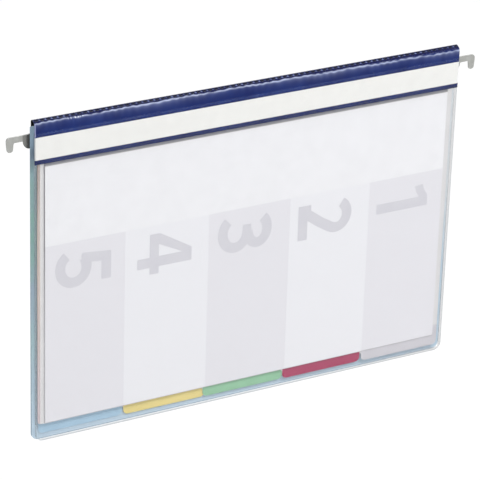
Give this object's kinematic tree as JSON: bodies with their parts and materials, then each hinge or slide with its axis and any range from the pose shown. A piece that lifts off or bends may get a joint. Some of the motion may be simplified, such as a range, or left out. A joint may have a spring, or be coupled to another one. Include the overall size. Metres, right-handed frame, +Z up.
{
  "type": "suspension organizer folder",
  "caption": "Hanging A4 organizer folder with clear front cover, tinted back, title strip, index sheet, tabbed dividers, prong fastener and sliding rail hooks.",
  "frame": {"origin": "midway between the two hook seats, the undersides of the hook arms that hang on the rails, halfway through the arms' thickness", "axes": "+X along the spine towards the right hook as seen from the front, +Y towards the back, +Z up; the clear front cover faces -Y"},
  "size_m": [0.3434, 0.0101, 0.2285],
  "materials": {
    "clear_film": "gloss",
    "back_film": "satin",
    "navy_film": "gloss",
    "title_paper": "matte",
    "index_paper": "matte",
    "grey_card": "satin",
    "red_card": "satin",
    "green_card": "satin",
    "yellow_card": "satin",
    "blue_card": "satin",
    "hook_steel": "satin",
    "fastener_steel": "satin",
    "dark_plastic": "satin"
  },
  "bodies": {
    "back": {"back_cover": "back_film", "spine_wrap": "navy_film", "channel_front_strip": "dark_plastic", "channel_rear_strip": "dark_plastic", "channel_upper_rail": "dark_plastic", "channel_lower_rail": "dark_plastic", "prong_strip": "fastener_steel", "compressor_bar": "fastener_steel", "stop_rivet_left": "hook_steel", "stop_rivet_right": "hook_steel", "index_sheet_margin": "index_paper", "divider_1_margin": "grey_card", "divider_2_margin": "red_card", "divider_3_margin": "green_card", "divider_4_margin": "yellow_card", "divider_5_margin": "blue_card"},
    "front": {"front_panel": "navy_film", "title_strip": "title_paper", "title_pocket": "clear_film", "front_cover": "clear_film"},
    "index_leaf": {"index_sheet": "index_paper"},
    "divider_1_leaf": {"divider_1": "grey_card"},
    "divider_2_leaf": {"divider_2": "red_card"},
    "divider_3_leaf": {"divider_3": "green_card"},
    "divider_4_leaf": {"divider_4": "yellow_card"},
    "divider_5_leaf": {"divider_5": "blue_card"},
    "left_hook": {"hook_left": "hook_steel"},
    "right_hook": {"hook_right": "hook_steel"},
    "left_slider": {"lock_slider_left": "dark_plastic"},
    "right_slider": {"lock_slider_right": "dark_plastic"}
  },
  "joints": [
    {"name": "front_cover_hinge", "type": "hinge", "parent": "back", "child": "front", "pos_m": [0, -0.0067, 0.0128], "axis": [-1, 0, 0], "range_deg": [0, 180]},
    {"name": "index_sheet_turn", "type": "hinge", "parent": "back", "child": "index_leaf", "pos_m": [0, -0.00395, -0.0167], "axis": [-1, 0, 0], "range_deg": [0, 158.4]},
    {"name": "divider_1_turn", "type": "hinge", "parent": "back", "child": "divider_1_leaf", "pos_m": [0, -0.0036, -0.0187], "axis": [-1, 0, 0], "range_deg": [0, 158.4]},
    {"name": "divider_2_turn", "type": "hinge", "parent": "back", "child": "divider_2_leaf", "pos_m": [0, -0.00325, -0.0207], "axis": [-1, 0, 0], "range_deg": [0, 158.4]},
    {"name": "divider_3_turn", "type": "hinge", "parent": "back", "child": "divider_3_leaf", "pos_m": [0, -0.0029, -0.0227], "axis": [-1, 0, 0], "range_deg": [0, 158.4]},
    {"name": "divider_4_turn", "type": "hinge", "parent": "back", "child": "divider_4_leaf", "pos_m": [0, -0.00255, -0.0247], "axis": [-1, 0, 0], "range_deg": [0, 158.4]},
    {"name": "divider_5_turn", "type": "hinge", "parent": "back", "child": "divider_5_leaf", "pos_m": [0, -0.0022, -0.0267], "axis": [-1, 0, 0], "range_deg": [0, 158.4]},
    {"name": "left_hook_slide", "type": "slide", "parent": "back", "child": "left_hook", "axis": [1, 0, 0], "range_m": [0, 0.0165]},
    {"name": "right_hook_slide", "type": "slide", "parent": "back", "child": "right_hook", "axis": [-1, 0, 0], "range_m": [0, 0.0165]},
    {"name": "left_lock_slide", "type": "slide", "parent": "back", "child": "left_slider", "axis": [-1, 0, 0], "range_m": [0, 0.038]},
    {"name": "right_lock_slide", "type": "slide", "parent": "back", "child": "right_slider", "axis": [1, 0, 0], "range_m": [0, 0.038]}
  ],
  "couplings": [
    {"joint": "index_sheet_turn", "follows": "front_cover_hinge", "ratio": 0.88},
    {"joint": "divider_1_turn", "follows": "front_cover_hinge", "ratio": 0.76},
    {"joint": "divider_2_turn", "follows": "front_cover_hinge", "ratio": 0.64},
    {"joint": "divider_3_turn", "follows": "front_cover_hinge", "ratio": 0.52},
    {"joint": "divider_4_turn", "follows": "front_cover_hinge", "ratio": 0.4},
    {"joint": "divider_5_turn", "follows": "front_cover_hinge", "ratio": 0.28}
  ]
}
